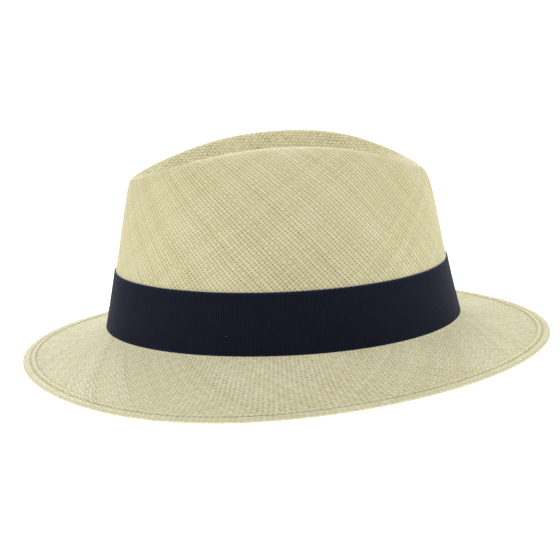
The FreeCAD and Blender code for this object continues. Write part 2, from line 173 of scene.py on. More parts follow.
def ridge(angle):
    """A point of the ridge round the creased top, which is blunt at the front."""
    x, y = oval(angle, *RIDGE)
    fore = cos(angle)
    x *= 1 + RIDGE_FULLNESS * max(0.0, fore) ** 2
    end = 0 if fore > 0 else 1
    return x, y, RIDGE_HEIGHT - RIDGE_DROP[end] * abs(fore) ** DROP_POWER[end]


def pinch(angle, height):
    """How far the front pinches push the crown in."""
    depth = 0.0
    for centre in (PINCH_ANGLE, -PINCH_ANGLE):
        away = (degrees(angle) - centre + 180) % 360 - 180
        depth += exp(-(away / PINCH_SPREAD_ANGLE) ** 2)
    return PINCH_DEPTH * depth * exp(-((height - PINCH_HEIGHT) / PINCH_SPREAD_HEIGHT) ** 2)


@lru_cache(maxsize=None)
def wall_curve(angle):
    """The control points of the crown's side at an angle, and the way out from it."""
    x, y = oval(angle, *HEAD)
    nx, ny = outward(angle)
    rx, ry, rz = ridge(angle)
    rise = rz * turned(angle, *WALL_RISE)
    inward = rise * tan(radians(turned(angle, *LEAN)))
    shoulder = turned(angle, *SHOULDER)
    low_handle = (x - nx * inward, y - ny * inward, rise)
    high_handle = (rx + nx * shoulder, ry + ny * shoulder, rz)
    return ((x, y, 0), low_handle, high_handle, (rx, ry, rz)), nx, ny


@lru_cache(maxsize=None)
def crown_wall(angle, t):
    """The crown's side, from the brim, t = 0, to the ridge, t = 1."""
    points, nx, ny = wall_curve(angle)
    px, py, pz = bezier(t, *points)
    push = pinch(angle, pz)
    return px - nx * push, py - ny * push, pz


def crown_top(angle, t):
    """The creased top, from the ridge, t = 0, to the middle of the crease, t = 1."""
    nx, ny = outward(angle)
    rx, ry, rz = ridge(angle)
    shoulder = turned(angle, *CREASE_SHOULDER)
    high_handle = (rx - nx * shoulder, ry - ny * shoulder, rz)
    low_handle = (rx * CREASE_SPREAD, ry * CREASE_SPREAD, CREASE_HEIGHT)
    px, py, pz = bezier(t, (rx, ry, rz), high_handle, low_handle, (0, 0, CREASE_HEIGHT))
    push = pinch(angle, rz) * (1 - t) ** 2
    return px - nx * push, py - ny * push, pz


def brim_edge(angle):
    """The outer edge of the brim, on the brim's upper face."""
    x, y = oval(angle, *BRIM)
    scale = 1 + BRIM_ROUNDING * sin(2 * angle) ** 2
    waves = sum(h * cos((k + 1) * angle) for k, h in enumerate(BRIM_WAVES))
    return x * scale, y * scale, waves - BRIM_DROP + EDGE_THICKNESS / 2


def brim(angle, share, raised=0.0):
    """The brim's upper face: share is 0 at the crown and 1 at the edge."""
    x, y = oval(angle, *HEAD)
    nx, ny = outward(angle)
    x, y = x + nx * BREAK_OUT, y + ny * BREAK_OUT
    ex, ey, ez = brim_edge(angle)
    fall = (1 + BRIM_DISH) * share - BRIM_DISH * share * share
    z = -BREAK_DROP + (ez + BREAK_DROP) * fall
    return x + (ex - x) * share, y + (ey - y) * share, z + raised


def brim_from_edge(angle, distance, raised):
    """A point at a distance in from the brim's edge, raised off its upper face."""
    x0, y0, _ = brim(angle, 0)
    x1, y1, _ = brim(angle, 1)
    return brim(angle, 1 - distance / hypot(x1 - x0, y1 - y0), raised)


def on_wall(angle, height, off):
    """A point at a height on the crown's wall, off its outer face: negative is inside.

    The height is found by halving the wall's lower half twelve times, to about 0.02 mm.
    """
    low, high = 0.0, 0.5
    for _ in range(12):
        middle = (low + high) / 2
        if crown_wall(angle, middle)[2] < height:
            low = middle
        else:
            high = middle
    x, y, _ = crown_wall(angle, low)
    nx, ny = outward(angle)
    return x + nx * off, y + ny * off, height


def beside(centre, along, height, off):
    """A point on the wall, at a distance along it from a centre, such as the bow's."""
    return on_wall(radians(centre) + along / HEAD[0], height, off)


LEANED = Matrix.Rotation(radians(FORWARD_TILT), 3, "X")


def stand(point):
    """A point of the upright hat, in millimetres, where it lies in the frame, in metres."""
    return (LEANED @ Vector(point) + Vector((0, STAND_SHIFT, STAND_RAISE))) * MM


# ---------------------------------------------------------------- making meshes

def piece(name, bm, materials):
    """Turns a bmesh into a smooth object that rides on the hat."""
    mesh = bpy.data.meshes.new(name)
    for face in bm.faces:
        face.smooth = True
    bm.to_mesh(mesh)
    bm.free()
    for material in materials:
        mesh.materials.append(material)
    made = bpy.data.objects.new(name, mesh)
    bpy.context.scene.collection.objects.link(made)
    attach(made, "root")
    return made


def round_off(made):
    modifier = made.modifiers.new("rounding", "SUBSURF")
    modifier.levels = modifier.render_levels = 1
    modifier.uv_smooth = "NONE"


def rings(columns, uv, zones, repeats):
    """A skin through rings of points: columns[k] goes across it at step k round the ring.

    uv[row] holds the pattern's lines for the faces before and after that row of points.
    Each row of faces has a material number, its zone, and repeats has how much the zone's
    pattern grows by once round the ring.
    """
    steps, rows = len(columns), len(columns[0])
    bm = bmesh.new()
    turn = bm.verts.layers.int.new("turn")
    depth = bm.verts.layers.int.new("row")
    pattern = bm.loops.layers.uv.new("Pattern")
    loop = bmesh.ops.create_circle(bm, segments=steps, radius=1)["verts"]
    for k, vert in enumerate(loop):
        vert[turn] = k
        vert.co = stand(columns[k][0])
    edges = list(bm.edges)
    for row in range(1, rows):
        made = bmesh.ops.extrude_edge_only(bm, edges=edges)["geom"]
        for vert in made:
            if isinstance(vert, bmesh.types.BMVert):
                vert.co = stand(columns[vert[turn]][row])
                vert[depth] = row
        faces = [f for f in made if isinstance(f, bmesh.types.BMFace)]
        edges = [e for e in made if isinstance(e, bmesh.types.BMEdge) and e.is_boundary]
        fresh = {v for v in made if isinstance(v, bmesh.types.BMVert)}
        for face in faces:
            last = {v[turn] for v in face.verts} == {0, steps - 1}
            face.material_index = zones[row - 1]
            for corner in face.loops:
                k = corner.vert[turn]
                line = uv[row - 1][1] if corner.vert not in fresh else uv[row][0]
                u, v = line[k]
                corner[pattern].uv = (u + (repeats[zones[row - 1]] if last and k == 0 else 0), v)
    bmesh.ops.remove_doubles(bm, verts=bm.verts, dist=1e-6)
    bmesh.ops.recalc_face_normals(bm, faces=bm.faces)
    return bm


def plain_uv(columns, length):
    """A pattern laid in millimetres: round the ring, and across it from its first row."""
    steps = len(columns)
    lines = []
    for row in range(len(columns[0])):
        line = []
        for k in range(steps):
            across = sum(
                (Vector(columns[k][r]) - Vector(columns[k][r - 1])).length for r in range(1, row + 1))
            line.append((length * k / steps, across))
        lines.append((line, line))
    return lines


def flat_section(low, high, inner, outer, point, rows=8, hem=0.03):
    """The points round a thin section: up its outer face and back down its inner one.

    point(height, face) is a point of either face. The hem is the share of the height that is
    kept for each edge, so that the edges stay crisp when the piece is rounded off.
    """
    edge = hem * (high - low)
    heights = [low, low + edge]
    heights += [low + (high - low) * k / rows for k in range(1, rows)]
    heights += [high - edge, high]
    up = [point(height, outer) for height in heights]
    down = [point(height, inner) for height in reversed(heights)]
    return up + down + up[:1]


def ribbon_ring(name, section, steps, length, material):
    """A closed ring of ribbon, leather or tape, with its two woven edges marked for a painted highlight.

    section(angle) gives the points round its section, and length is the ring's, in mm.
    """
    columns = [section(2 * pi * k / steps) for k in range(steps)]
    bm = rings(columns, plain_uv(columns, length), [0] * len(columns[0]), [length])
    # Marks both edges, where the ribbon gets a painted highlight
    edge_highlight = bm.verts.layers.float.new("edge_highlight")
    half = len(columns[0]) // 2
    for vert in bm.verts:
        vert[edge_highlight] = float(vert[bm.verts.layers.int["row"]] % half in (0, half - 1))
    made = piece(name, bm, [material])
    round_off(made)
    return made


# ---------------------------------------------------------------- materials

def linear(colour):
    """An sRGB hex colour as linear red, green, blue and alpha."""
    parts = [int(colour[k:k + 2], 16) / 255 for k in (1, 3, 5)]
    return [p / 12.92 if p < 0.04045 else ((p + 0.055) / 1.055) ** 2.4 for p in parts] + [1.0]


def add(tree, kind, *values, inputs=None, output=0, **settings):
    """Adds a node with its settings and returns one of its outputs.

    values fill its first inputs in order, and inputs fills others by name or number, each
    with a value or another node's output. A kind that isn't a type of node is a sum, which
    a Math node does.
    """
    if not kind.startswith("ShaderNode"):
        kind, settings["operation"] = "ShaderNodeMath", kind
    node = tree.nodes.new(kind)
    for key, value in settings.items():
        setattr(node, key, value)
    for key, value in [*enumerate(values), *(inputs or {}).items()]:
        if isinstance(value, bpy.types.NodeSocket):
            tree.links.new(value, node.inputs[key])
        else:
            node.inputs[key].default_value = value
    return node.outputs[output]


def new_material(name):
    material = bpy.data.materials.new(name)
    material.use_nodes = True
    tree = material.node_tree
    shader = tree.nodes["Principled BSDF"]
    return material, tree, shader


def toquilla_straw(name, strands, over, pale, golden, shadow, twist, depth, stitched=False):
    """Hand-plaited toquilla palm straw, each strand passing over and under one or two others.

    The eye gets rows of short slanting floats, small gaps at their ends painted dark as shade,
    strands that differ a little from cream to gold, and a low sheen. strands is the count round
    the ring, over is how many strands each passes over, twist slants the whole lattice round
    the hat, and depth says how dark the painted shade in the gaps is.
    """
    material, tree, shader = new_material(name)
    place = add(tree, "ShaderNodeUVMap", uv_map="Pattern")
    body = add(tree, "ShaderNodeTexCoord", output="Object")
    # Hand work is uneven: the lattice wanders by a third of a strand over 4 to 5 cm
    wander = add(tree, "ShaderNodeTexNoise", output="Color",
                 inputs={"Vector": body, "Scale": 22.0, "Detail": 2.0})
    wander = add(tree, "ShaderNodeVectorMath", wander, (0.5, 0.5, 0.5), operation="SUBTRACT")
    wander = add(tree, "ShaderNodeVectorMath", wander, inputs={"Scale": 1.3}, operation="SCALE")
    place = add(tree, "ShaderNodeVectorMath", place, wander, operation="ADD")
    u, v = add(tree, "ShaderNodeSeparateXYZ", place).node.outputs[:2]
    u = add(tree, "MULTIPLY_ADD", v, twist, u)
    right, left = add(tree, "ADD", v, u), add(tree, "SUBTRACT", v, u)
    i, j = add(tree, "FLOOR", right), add(tree, "FLOOR", left)
    fi, fj = add(tree, "FRACT", right), add(tree, "FRACT", left)
    # i and j number the strands that lean right and left, and step says where a crossing
    # comes in the round of overs and unders
    step = add(tree, "FLOORED_MODULO", add(tree, "SUBTRACT", i, j), 2.0 * over)
    right_on_top = add(tree, "LESS_THAN", step, over - 0.5)
    left_on_top = add(tree, "SUBTRACT", 1.0, right_on_top)

    def choose(first, second):
        """One value where the right-leaning strand is on top, and another elsewhere."""
        one = add(tree, "MULTIPLY", first, right_on_top)
        return add(tree, "MULTIPLY_ADD", second, left_on_top, one)

    # Across and along the float on top, each from 0 to 1
    across = choose(fi, fj)
    along_right = add(tree, "SUBTRACT", add(tree, "ADD", fj, over - 1.0), step)
    along_right = add(tree, "DIVIDE", along_right, over)
    along_left = add(tree, "SUBTRACT", add(tree, "ADD", fi, step), over)
    along_left = add(tree, "DIVIDE", along_left, over)
    along = choose(along_right, along_left)
    edge = add(tree, "ABSOLUTE", add(tree, "MULTIPLY_ADD", across, 2.0, -1.0))
    flatness = add(tree, "SUBTRACT", 1.0, add(tree, "POWER", edge, 4.0))
    arch = add(tree, "POWER", add(tree, "SINE", add(tree, "MULTIPLY", along, pi)), 0.5)
    height = add(tree, "MULTIPLY", flatness, add(tree, "MULTIPLY_ADD", arch, 0.6, 0.4))

    # One tone for each strand, carried round the hat by taking its number round the ring
    strand = choose(
        add(tree, "FLOORED_MODULO", i, strands),
        add(tree, "ADD", add(tree, "FLOORED_MODULO", j, strands), strands))
    tone = add(tree, "ShaderNodeTexWhiteNoise", inputs={"W": strand}, noise_dimensions="1D")
    cell = add(tree, "ShaderNodeCombineXYZ", inputs={0: i, 1: j})
    speck = add(tree, "ShaderNodeTexWhiteNoise", inputs={"Vector": cell}, noise_dimensions="2D")
    patch = add(tree, "ShaderNodeTexNoise", inputs={"Vector": body, "Scale": 55.0, "Detail": 3.0})
    mixed = add(tree, "MULTIPLY_ADD", tone, 0.5, add(tree, "MULTIPLY", speck, 0.12))
    mixed = add(tree, "MULTIPLY_ADD", patch, 0.3, mixed)
    mixed = add(tree, "SUBTRACT", mixed, 0.05, use_clamp=True)
    colour = add(tree, "ShaderNodeMix", inputs={0: mixed, 6: linear(pale), 7: linear(golden)}, output=2,
                 data_type="RGBA")
    # Gaps, painted in shade: a dark dot where a float ends, far deeper along some lines of the weave
    # than others, and a faint line between strands lying side by side
    line = choose(add(tree, "ROUND", left), add(tree, "ADD", add(tree, "ROUND", right), 0.5))
    slack = add(tree, "ShaderNodeTexWhiteNoise", inputs={"W": line}, noise_dimensions="1D")
    slack = add(tree, "MULTIPLY", add(tree, "POWER", slack, 2.2), choose(0.95, 0.55))
    slack = add(tree, "MULTIPLY", slack, add(tree, "MULTIPLY_ADD", speck, 0.8, 0.6))
    ends = add(tree, "POWER", add(tree, "SUBTRACT", 1.0, arch), 1.3)
    ends = add(tree, "MULTIPLY", ends, add(tree, "ADD", slack, 0.36))
    # Where single strands cross, a gap is a dot at the corner; under longer floats, a slot
    if over == 1.0:
        corner = add(tree, "MULTIPLY_ADD", add(tree, "POWER", edge, 3.0), 2.9, 0.1)
        ends = add(tree, "MULTIPLY", ends, corner)
    sides = add(tree, "MULTIPLY", add(tree, "POWER", edge, 8.0), 0.42)
    # How strongly the painted shade darkens the gaps
    gap_shade = add(tree, "MULTIPLY", add(tree, "ADD", ends, sides), depth, use_clamp=True)
    colour = add(tree, "ShaderNodeMix", inputs={0: gap_shade, 6: colour, 7: linear(shadow)}, output=2,
                 data_type="RGBA")
    if stitched:
        colour, height = sewn_edge(tree, colour, height, u, pale, shadow)
    tree.links.new(colour, shader.inputs["Base Color"])
    bump = add(tree, "ShaderNodeBump",
               inputs={"Strength": 0.45, "Distance": 0.35 * MM, "Height": height})
    tree.links.new(bump, shader.inputs["Normal"])
    shader.inputs["Roughness"].default_value = 0.62
    shader.inputs["Specular IOR Level"].default_value = 0.35
    return material


def sewn_edge(tree, colour, height, round_it, pale, shadow):
    """The brim's fold: a smooth pale roll between two rows of slits drawn in by thread, painted dark as
    shade.
    """
    from_edge = add(tree, "ShaderNodeAttribute", output="Fac", attribute_name="from_edge")
    middle = sum(STITCH_ROWS) / 2
    off_roll = add(tree, "ABSOLUTE", add(tree, "SUBTRACT", from_edge, middle))
    roll = add(tree, "ShaderNodeMapRange", inputs={0: off_roll, 1: 1.4, 2: 0.8, 3: 0.0, 4: 0.3})
    colour = add(tree, "ShaderNodeMix", inputs={0: roll, 6: colour, 7: linear(pale)}, output=2,
                 data_type="RGBA")
    off_row = add(tree, "ABSOLUTE", add(tree, "SUBTRACT", off_roll, STITCH_ROWS[1] - middle))
    row = add(tree, "ShaderNodeMapRange", inputs={0: off_row, 1: 0.75, 2: 0.25, 3: 0.0, 4: 1.0})
    # The slits are painted in the shadow colour: painted shade where the thread draws the straw in
    slit = add(tree, "PINGPONG", round_it, 0.5)
    slit = add(tree, "ShaderNodeMapRange", inputs={0: slit, 1: 0.24, 2: 0.38, 3: 0.0, 4: 0.42})
    slit = add(tree, "MULTIPLY", row, slit)
    colour = add(tree, "ShaderNodeMix", inputs={0: slit, 6: colour, 7: linear(shadow)}, output=2,
                 data_type="RGBA")
    # Outside the rows the fold is pulled tight, so the weave shows less
    tight = add(tree, "ShaderNodeMapRange", inputs={0: from_edge, 1: 4.5, 2: 2.5, 3: 0.0, 4: 0.3})
    colour = add(tree, "ShaderNodeMix", inputs={0: tight, 6: colour, 7: linear(pale)}, output=2,
                 data_type="RGBA")
    smooth = add(tree, "MAXIMUM", roll, tight)
    height = add(tree, "MULTIPLY_ADD", height, add(tree, "SUBTRACT", 1.0, smooth), smooth)
    return colour, add(tree, "SUBTRACT", height, slit)


def grosgrain(name, colour, rib_highlight_colour, edge_highlight_colour):
    """Dyed grosgrain ribbon: upright ribs of weft, each painted lighter along its top as a painted
    highlight, with a low sheen.

    The ribs are 1.3 mm apart, which is the widest such a ribbon has, so that they show.
    """
    material, tree, shader = new_material(name)
    place = add(tree, "ShaderNodeUVMap", uv_map="Pattern")
    round_it, across = add(tree, "ShaderNodeSeparateXYZ", place).node.outputs[:2]
    rib = add(tree, "SINE", add(tree, "MULTIPLY", round_it, 2 * pi / 1.3))
    rib = add(tree, "MULTIPLY_ADD", rib, 0.5, 0.5)
    thread = add(tree, "SINE", add(tree, "MULTIPLY", across, 2 * pi / 0.5))
    body = add(tree, "ShaderNodeTexCoord", output="Object")
    uneven = add(tree, "ShaderNodeTexNoise", inputs={"Vector": body, "Scale": 120.0, "Detail": 3.0})
    # The rib tops are painted in the lighter colour, a painted highlight, varied at random
    tone = add(tree, "MULTIPLY", rib, add(tree, "MULTIPLY_ADD", uneven, 0.8, 0.2), use_clamp=True)
    mixed = add(tree, "ShaderNodeMix", inputs={0: tone, 6: linear(colour), 7: linear(rib_highlight_colour)},
                output=2, data_type="RGBA")
    # The woven edges are painted a little lighter: a painted highlight where light catches them
    edge_highlight = add(tree, "ShaderNodeAttribute", output="Fac", attribute_name="edge_highlight")
    mixed = add(tree, "ShaderNodeMix", inputs={0: edge_highlight, 6: mixed, 7: linear(edge_highlight_colour)}, output=2,
                data_type="RGBA")
    tree.links.new(mixed, shader.inputs["Base Color"])
    height = add(tree, "MULTIPLY_ADD", thread, 0.12, rib)
    bump = add(tree, "ShaderNodeBump", inputs={"Strength": 0.3, "Distance": 0.15 * MM, "Height": height})
    tree.links.new(bump, shader.inputs["Normal"])
    shader.inputs["Roughness"].default_value = 0.7
    shader.inputs["Specular IOR Level"].default_value = 0.08
    shader.inputs["Sheen Weight"].default_value = 0.06
    shader.inputs["Sheen Roughness"].default_value = 0.5
    shader.inputs["Sheen Tint"].default_value = linear("#8f9bd0")
    return material


def spun(name, colour, light, pitch_mm, roughness=0.75):
    """Plain woven tape or twisted thread: fine slanting turns, matt."""
    material, tree, shader = new_material(name)
    body = add(tree, "ShaderNodeTexCoord", output="Object")
    wave = add(tree, "ShaderNodeTexWave", inputs={
        "Vector": body, "Scale": 2 * pi / (pitch_mm * MM) / 20, "Distortion": 1.0, "Detail": 2.0},
        output=1, wave_type="BANDS", bands_direction="DIAGONAL")
    mixed = add(tree, "ShaderNodeMix", inputs={0: wave, 6: linear(colour), 7: linear(light)}, output=2,
                data_type="RGBA")
    tree.links.new(mixed, shader.inputs["Base Color"])
    bump = add(tree, "ShaderNodeBump", inputs={"Strength": 0.4, "Distance": 0.1 * MM, "Height": wave})
    tree.links.new(bump, shader.inputs["Normal"])
    shader.inputs["Roughness"].default_value = roughness
    return material


def roan_leather(name):
    """Thin vegetable-tanned sheepskin, as hat leathers are: fine pores, soft creases, satin."""
    material, tree, shader = new_material(name)
    body = add(tree, "ShaderNodeTexCoord", output="Object")
    pores = add(tree, "ShaderNodeTexVoronoi", inputs={"Vector": body, "Scale": 1 / (0.9 * MM)})
    clouds = add(tree, "ShaderNodeTexNoise", inputs={"Vector": body, "Scale": 45.0, "Detail": 5.0})
    shade = add(tree, "ShaderNodeMix", inputs={0: clouds, 6: linear("#a87a4c"), 7: linear("#c79a68")},
                output=2, data_type="RGBA")
    tree.links.new(shade, shader.inputs["Base Color"])
    height = add(tree, "MULTIPLY_ADD", clouds, 0.8, pores)
    bump = add(tree, "ShaderNodeBump", inputs={"Strength": 0.35, "Distance": 0.2 * MM, "Height": height})
    tree.links.new(bump, shader.inputs["Normal"])
    rough = add(tree, "MULTIPLY_ADD", clouds, 0.2, 0.4)
    tree.links.new(rough, shader.inputs["Roughness"])
    return material


# ---------------------------------------------------------------- the straw body

def straw_columns(steps):
    """For each step round the hat, the straw's section from the crease's middle to inside it.

    The folded edge is given as distances in from the brim's edge, each with a height above
    the brim's upper face: over the fold first, and then beneath it.
    """
    first, second = STITCH_ROWS
    over = (
        (EDGE_WIDTH + 2.2, 0.0), (EDGE_WIDTH + 0.4, 0.0), (second, -STITCH_GROOVE),
        (second - 0.8, EDGE_RIDGE), (first + 0.9, EDGE_RIDGE), (first, -STITCH_GROOVE),
        (first - 0.9, 0.1), (2.4, 0.1), (0.9, 0.0), (0.0, -0.5))
    beneath = (
        (0.0, 0.5 - EDGE_THICKNESS), (0.9, -EDGE_THICKNESS), (2.6, -EDGE_THICKNESS),
        (EDGE_WIDTH - 2.0, -EDGE_THICKNESS), (EDGE_WIDTH - 0.3, -EDGE_THICKNESS),
        (EDGE_WIDTH, -STRAW - 0.2), (EDGE_WIDTH + 0.5, -STRAW), (EDGE_WIDTH + 2.4, -STRAW))
    angles = [2 * pi * k / steps for k in range(steps)]
    crowns = []
    for angle in angles:
        crown = [crown_top(angle, t) for t in CREASE_SHARES]
        crown += [crown_wall(angle, 1 - k / (WALL_ROWS - 1)) for k in range(WALL_ROWS - 1)]
        crowns.append(crown + [crown_wall(angle, WALL_FOOT)])
    columns = []
    for k, angle in enumerate(angles):
        crown = crowns[k]
        upper = [brim(angle, share) for share in BRIM_SHARES]
        under = [brim(angle, share, -STRAW) for share in BRIM_SHARES]
        fold = [brim_from_edge(angle, *place) for place in over + beneath]
        inside = []
        # The inner face follows the outer one, square to it, at the straw's thickness
        for row, point in enumerate(crown):
            around = Vector(crowns[(k + 1) % steps][row]) - Vector(crowns[k - 1][row])
            rise = Vector(crown[max(row - 1, 0)]) - Vector(crown[min(row + 1, len(crown) - 1)])
            normal = around.cross(rise).normalized() if row > 0 else Vector((0, 0, 1))
            inside.append(tuple(Vector(point) - normal * STRAW))
        columns.append(crown + upper + fold + under[::-1] + inside[::-1])
    return columns


def weave_uv(columns, crown_rows):
    """Where each point lies in the weave, counted in strands.

    Round the crown and the brim the weave keeps its count of strands, and a step down a
    column is as many strands as the ring there makes it. Inside the crease the weave is
    laid across the crown instead. Each row gives its place for the faces before and after.
    """
    steps, rows = len(columns), len(columns[0])
    smallest_ring = 60.0
    lines = []
    deep = [[0.0] * steps]
    for row in range(1, rows):
        ring = [Vector(columns[k][row]) for k in range(steps)]
        round_it = sum((ring[k] - ring[k - 1]).length for k in range(steps))
        strands = CROWN_STRANDS if min(row, rows - 1 - row) < crown_rows else BRIM_STRANDS
        pace = strands / max(round_it, smallest_ring)
        deep.append([deep[-1][k] + pace * (ring[k] - Vector(columns[k][row - 1])).length
                     for k in range(steps)])
    # Both sides of the straw are counted from where the crown meets the brim
    breaks = [deep[crown_rows - 1], deep[rows - crown_rows]]
    for row in range(rows):
        ring = [columns[k][row] for k in range(steps)]
        from_end = min(row, rows - 1 - row)
        outside = row < rows / 2
        zero = breaks[0 if outside else 1]
        strands = CROWN_STRANDS if from_end < crown_rows else BRIM_STRANDS
        depth = [deep[row][k] - zero[k] for k in range(steps)]
        around = [(strands * k / steps, depth[k]) for k in range(steps)]
        wrapped = [(BRIM_STRANDS * k / steps, depth[k]) for k in range(steps)]
        across = []
        for x, y, z in ring:
            # Half of each point's height is laid out sideways, for the crease's steep sides
            side = 1 if x > 0 else -1
            across.append(((x + side * 0.5 * (z - CREASE_HEIGHT)) / STRAND_STEP, y / STRAND_STEP))
        if from_end < CREASE_ROWS - 1:
            lines.append((across, across))
        elif from_end == CREASE_ROWS - 1:
            lines.append((across, around) if outside else (around, across))
        elif from_end == crown_rows - 1:
            lines.append((around, wrapped) if outside else (wrapped, around))
        else:
            lines.append((around, around))
    return lines


def mark_edge(bm):
    """Notes on each point how far in from the brim's edge it lies, for the stitched fold."""
    from_edge = bm.verts.layers.float.new("from_edge")
    marks, reach = 720, 14
    outline = [stand(brim_edge(2 * pi * k / marks)) for k in range(marks)]
    for vert in bm.verts:
        turn = atan2(vert.co.x / BRIM[2], -vert.co.y / BRIM[0])
        near = round(marks * turn / (2 * pi))
        gaps = [(outline[(near + k) % marks] - vert.co).to_2d().length
                for k in range(-reach, reach + 1)]
        vert[from_edge] = min(gaps) / MM


def make_straw_body(crown_straw, top_straw, brim_straw):
    """Crown and brim plaited in one piece, with the brim's edge turned under and stitched."""
    columns = straw_columns(STRAW_STEPS)
    face_rows = len(columns[0]) - 1
    crown_rows = CREASE_ROWS + WALL_ROWS
    # Materials: 0 on the crown's wall, 1 in the crease and 2 on the brim
    zones = []
    for row in range(face_rows):
        from_end = min(row, face_rows - 1 - row)
        if from_end < CREASE_ROWS - 1:
            zones.append(1)
        else:
            zones.append(0 if from_end < crown_rows - 1 else 2)
    uv = weave_uv(columns, crown_rows)
    bm = rings(columns, uv, zones, [CROWN_STRANDS, 0, BRIM_STRANDS])
    mark_edge(bm)
    made = piece("straw_crown_and_brim", bm, [crown_straw, top_straw, brim_straw])
    round_off(made)
    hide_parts("straw_body")


def bars(name, places, length, radius, material):
    """A row of short stitches: each place is the stitch's middle and a point farther along."""
    bm = bmesh.new()
    bmesh.ops.create_uvsphere(bm, u_segments=6, v_segments=4, radius=1)
    bmesh.ops.rotate(bm, verts=bm.verts, matrix=Matrix.Rotation(pi / 2, 3, "Y"))
    bmesh.ops.scale(bm, verts=bm.verts, vec=(length / 2 * MM, radius * MM, radius * MM))
    one = bpy.data.meshes.new("one_stitch")
    bm.to_mesh(one)
    bm.clear()
    for centre, ahead in places:
        middle = stand(centre)
        along = (stand(ahead) - middle).to_track_quat("X", "Z").to_matrix().to_4x4()
        put = Matrix.Translation(middle) @ along
        one.transform(put)
        bm.from_mesh(one)
        one.transform(put.inverted())
    bpy.data.meshes.remove(one)
    return piece(name, bm, [material])


def make_brim_stitching(thread):
    """Two rows of stitches that hold the turned edge, a stitch to each strand."""
    between_slits = 0.3
    places = []
    for distance in STITCH_ROWS:
        for k in range(BRIM_STRANDS):
            angle = 2 * pi * (k + between_slits) / BRIM_STRANDS
            places.append((brim_from_edge(angle, distance, BRIM_STITCH_LIFT),
                           brim_from_edge(angle + AHEAD, distance, BRIM_STITCH_LIFT)))
    made = bars("brim_edge_stitching", places, BRIM_STITCH, BRIM_STITCH_RADIUS, thread)
    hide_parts("brim_stitching")


def flat_piece(name, width, low, high, place, thickness, material, steps=16):
    """A small flat piece: place(along, height) is a point of it, for along from 0 to width."""
    bm = bmesh.new()
    rows = max(2, round((high - low) / 3))
    bmesh.ops.create_grid(bm, x_segments=steps, y_segments=rows, size=0.5, calc_uvs=True)
    pattern = bm.loops.layers.uv.new("Pattern")
    for vert in bm.verts:
        for corner in vert.link_loops:
            corner[pattern].uv = ((vert.co.x + 0.5) * width, (vert.co.y + 0.5) * (high - low))
    for vert in bm.verts:
        vert.co = stand(place((vert.co.x + 0.5) * width, low + (vert.co.y + 0.5) * (high - low)))
    made = piece(name, bm, [material])
    thick = made.modifiers.new("thickness", "SOLIDIFY")
    thick.thickness = thickness * MM
    thick.offset = 0
    return made


# ---------------------------------------------------------------- the ribbon and its bow

def make_hat_band(ribbon):
    """Grosgrain ribbon drawn round the foot of the crown."""
    def section(angle):
        return flat_section(BAND_LOW, BAND_HIGH, BAND_GAP, BAND_GAP + RIBBON,
                            lambda height, off: on_wall(angle, height, off))

    made = ribbon_ring("hat_band_ribbon", section, BAND_STEPS, 596.0, ribbon)
    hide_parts("hat_band")


def flattened(turn, half_length, back, lift, thickness):
    """A point of a loop pressed flat: how far along it lies, how far off the wall, and the two
    parts of the step from its middle to its outer face.

    lift(share) is the loop's fullness at a share of the way from its middle to its end.
    """
    def path(t):
        rise = lift(abs(cos(t))) / 2
        return (half_length * cos(t),
                back + rise + rise * sin(t) * abs(sin(t)) ** -LOOP_SQUARENESS)

    step = 1e-3
    x0, y0 = path(turn - step)
    x1, y1 = path(turn + step)
    length = hypot(x1 - x0, y1 - y0)
    along, off = path(turn)
    return along, off, (y1 - y0) / length * thickness / 2, (x0 - x1) / length * thickness / 2


def bow_loop(name, centre, half_length, low, high, back, bulge, waist, thickness, side, material):
    """A ribbon loop pressed flat, gathered into small pleats where the knot holds it."""
    def lift(share):
        return waist + bulge * sin(pi * min(1.0, share * 1.05)) ** 0.7

    def section(turn):
        turn += PAST_BEND
        along, off, add_along, add_off = flattened(turn, half_length, back, lift, thickness)
        gather = (1 - abs(cos(turn))) ** 3
        squeeze = BOW_SQUEEZE * (high - low) * gather

        def point(height, face):
            wave = cos(PLEATS * pi * (height - low) / (high - low))
            pleat = PLEAT_DEPTH * thickness * gather * wave
            return beside(centre, along + face * add_along, height,
                          side * (off + face * add_off + pleat))
        return flat_section(low + squeeze, high - squeeze, -1, 1, point, rows=16)

    return ribbon_ring(name, section, LOOP_STEPS, 4 * half_length, material)


def bow_knot(name, centre, width, low, high, back, depth, thickness, side, material):
    """Ribbon wrapped upright round the bow's waist."""
    middle, half_height = (low + high) / 2, (high - low) / 2

    def section(turn):
        turn += PAST_BEND
        rise, off, add_up, add_off = flattened(
            turn, half_height, back, lambda share: depth, thickness)
        return flat_section(
            -width / 2, width / 2, -1, 1, lambda along, face: beside(
                centre, along, middle + rise + face * add_up, side * (off + face * add_off)))

    return ribbon_ring(name, section, KNOT_STEPS, 4 * half_height, material)


